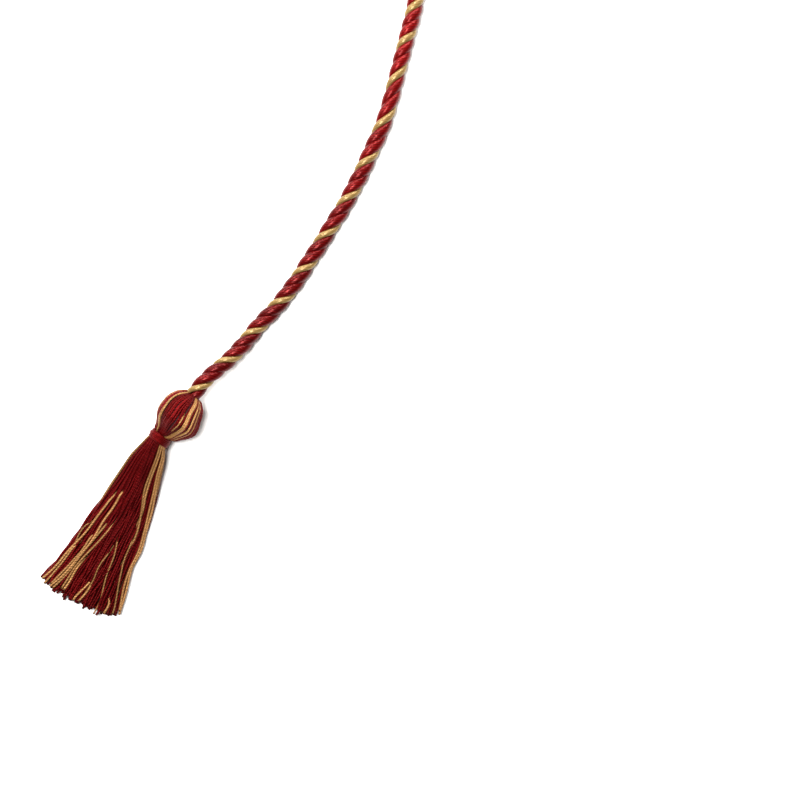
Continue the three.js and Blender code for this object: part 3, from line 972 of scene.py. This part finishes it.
def make_tassel(name, placing, finishes):
    draw = np.random.default_rng(placing.seed)
    node = name + "_tassel"
    for part, (reds, golds) in (
        ("skirt", skirt_yarns(placing, draw)), ("head", head_yarns(placing, draw)),
    ):
        for colour, yarns in (("red", reds), ("gold", golds)):
            finish = finishes[f"{part}_{colour}"]
            piece = spun_piece(f"{name}_{part}_{colour}", yarns, YARN_SECTION, [finish])
            hand_over(piece, "tassel_yarn", node)
    core = head_core(name + "_head_inside", placing, finishes["inside"])
    hand_over(core, "tassel_yarn", node)
    thread = binding_yarn(placing, draw)
    binding = spun_piece(name + "_neck_thread", thread, YARN_SECTION, [finishes["thread"]])
    hand_over(binding, "binding_thread", name + "_binding")


def yarn_finish(name, deep, bright, sheen, gleam, depth=0.14):
    """The finish of a thin yarn of two plies."""
    return rayon(
        name, deep, bright, sheen, gleam, ridges=2,
        lay=YARN_LAY, groove=0.4, depth=depth, shine=0.35, rough=0.46,
    )


tassel_finishes = {
    "head_red": yarn_finish("head_red_yarn", DEEP_RED, BRIGHT_RED, YARN_SHEEN, 0.5),
    "head_gold": yarn_finish("head_gold_yarn", DEEP_GOLD, BRIGHT_GOLD, GOLD_SHEEN, 0.6),
    # The skirt's yarn takes the darker copies of its colours, as painted shade
    "skirt_red": yarn_finish(
        "skirt_red_yarn_shaded", SKIRT_SHADED_DEEP_RED, SKIRT_SHADED_BRIGHT_RED, YARN_SHEEN, 0.4,
    ),
    "skirt_gold": yarn_finish(
        "skirt_gold_yarn_shaded", SKIRT_SHADED_DEEP_GOLD, SKIRT_SHADED_BRIGHT_GOLD, GOLD_SHEEN, 0.5,
    ),
    "thread": yarn_finish("binding_thread", DEEP_RED, BRIGHT_RED, YARN_SHEEN, 0.4, 0.12),
    "inside": core_finish(),
}
for tassel_name, lie in TASSELS.items():
    make_tassel(tassel_name, Placing(**lie), tassel_finishes)


# The surface and the light


SURFACE_REACH = 4
SKY_COLOUR = (1, 0.93, 0.86, 1)
SKY_STRENGTH = 0.12
# In metres and watts: the main light overhead, and a long low one beyond the top of the view,
# which draws long highlights along the plies
LIGHTS = (
    {
        "name": "overhead_light", "place": (-0.08, -0.06, 0.8), "target": (0.05, -0.08, 0),
        "size": (0.28, 0.28), "power": 11, "colour": (1, 0.99, 0.97),
    },
    {
        "name": "strip_light", "place": (0.03, 0.48, 0.37), "target": (0.1, 0, 0),
        "size": (1.4, 0.08), "power": 12.5, "colour": (1, 0.98, 0.95),
    },
)


def add_surface():
    plane = bmesh.new()
    bmesh.ops.create_grid(plane, x_segments=4, y_segments=4, size=SURFACE_REACH)
    mesh = bpy.data.meshes.new("surface")
    plane.to_mesh(mesh)
    plane.free()
    mesh.materials.append(surface_finish())
    surface = bpy.data.objects.new("surface", mesh)
    bpy.context.scene.collection.objects.link(surface)


def add_light(name, place, target, size, power, colour):
    data = bpy.data.lights.new(name, "AREA")
    data.shape = "RECTANGLE"
    data.size, data.size_y = size
    data.energy = power
    data.color = colour
    lamp = bpy.data.objects.new(name, data)
    bpy.context.scene.collection.objects.link(lamp)
    lamp.location = place
    lamp.rotation_mode = "QUATERNION"
    lamp.rotation_quaternion = (Vector(target) - Vector(place)).to_track_quat("-Z", "Y")


def add_daylight():
    world = bpy.data.worlds.new("studio")
    world.use_nodes = True
    sky = world.node_tree.nodes["Background"]
    sky.inputs["Color"].default_value = SKY_COLOUR
    sky.inputs["Strength"].default_value = SKY_STRENGTH
    bpy.context.scene.world = world
    bpy.context.scene.view_settings.view_transform = "Standard"


add_surface()
for light in LIGHTS:
    add_light(**light)
add_daylight()
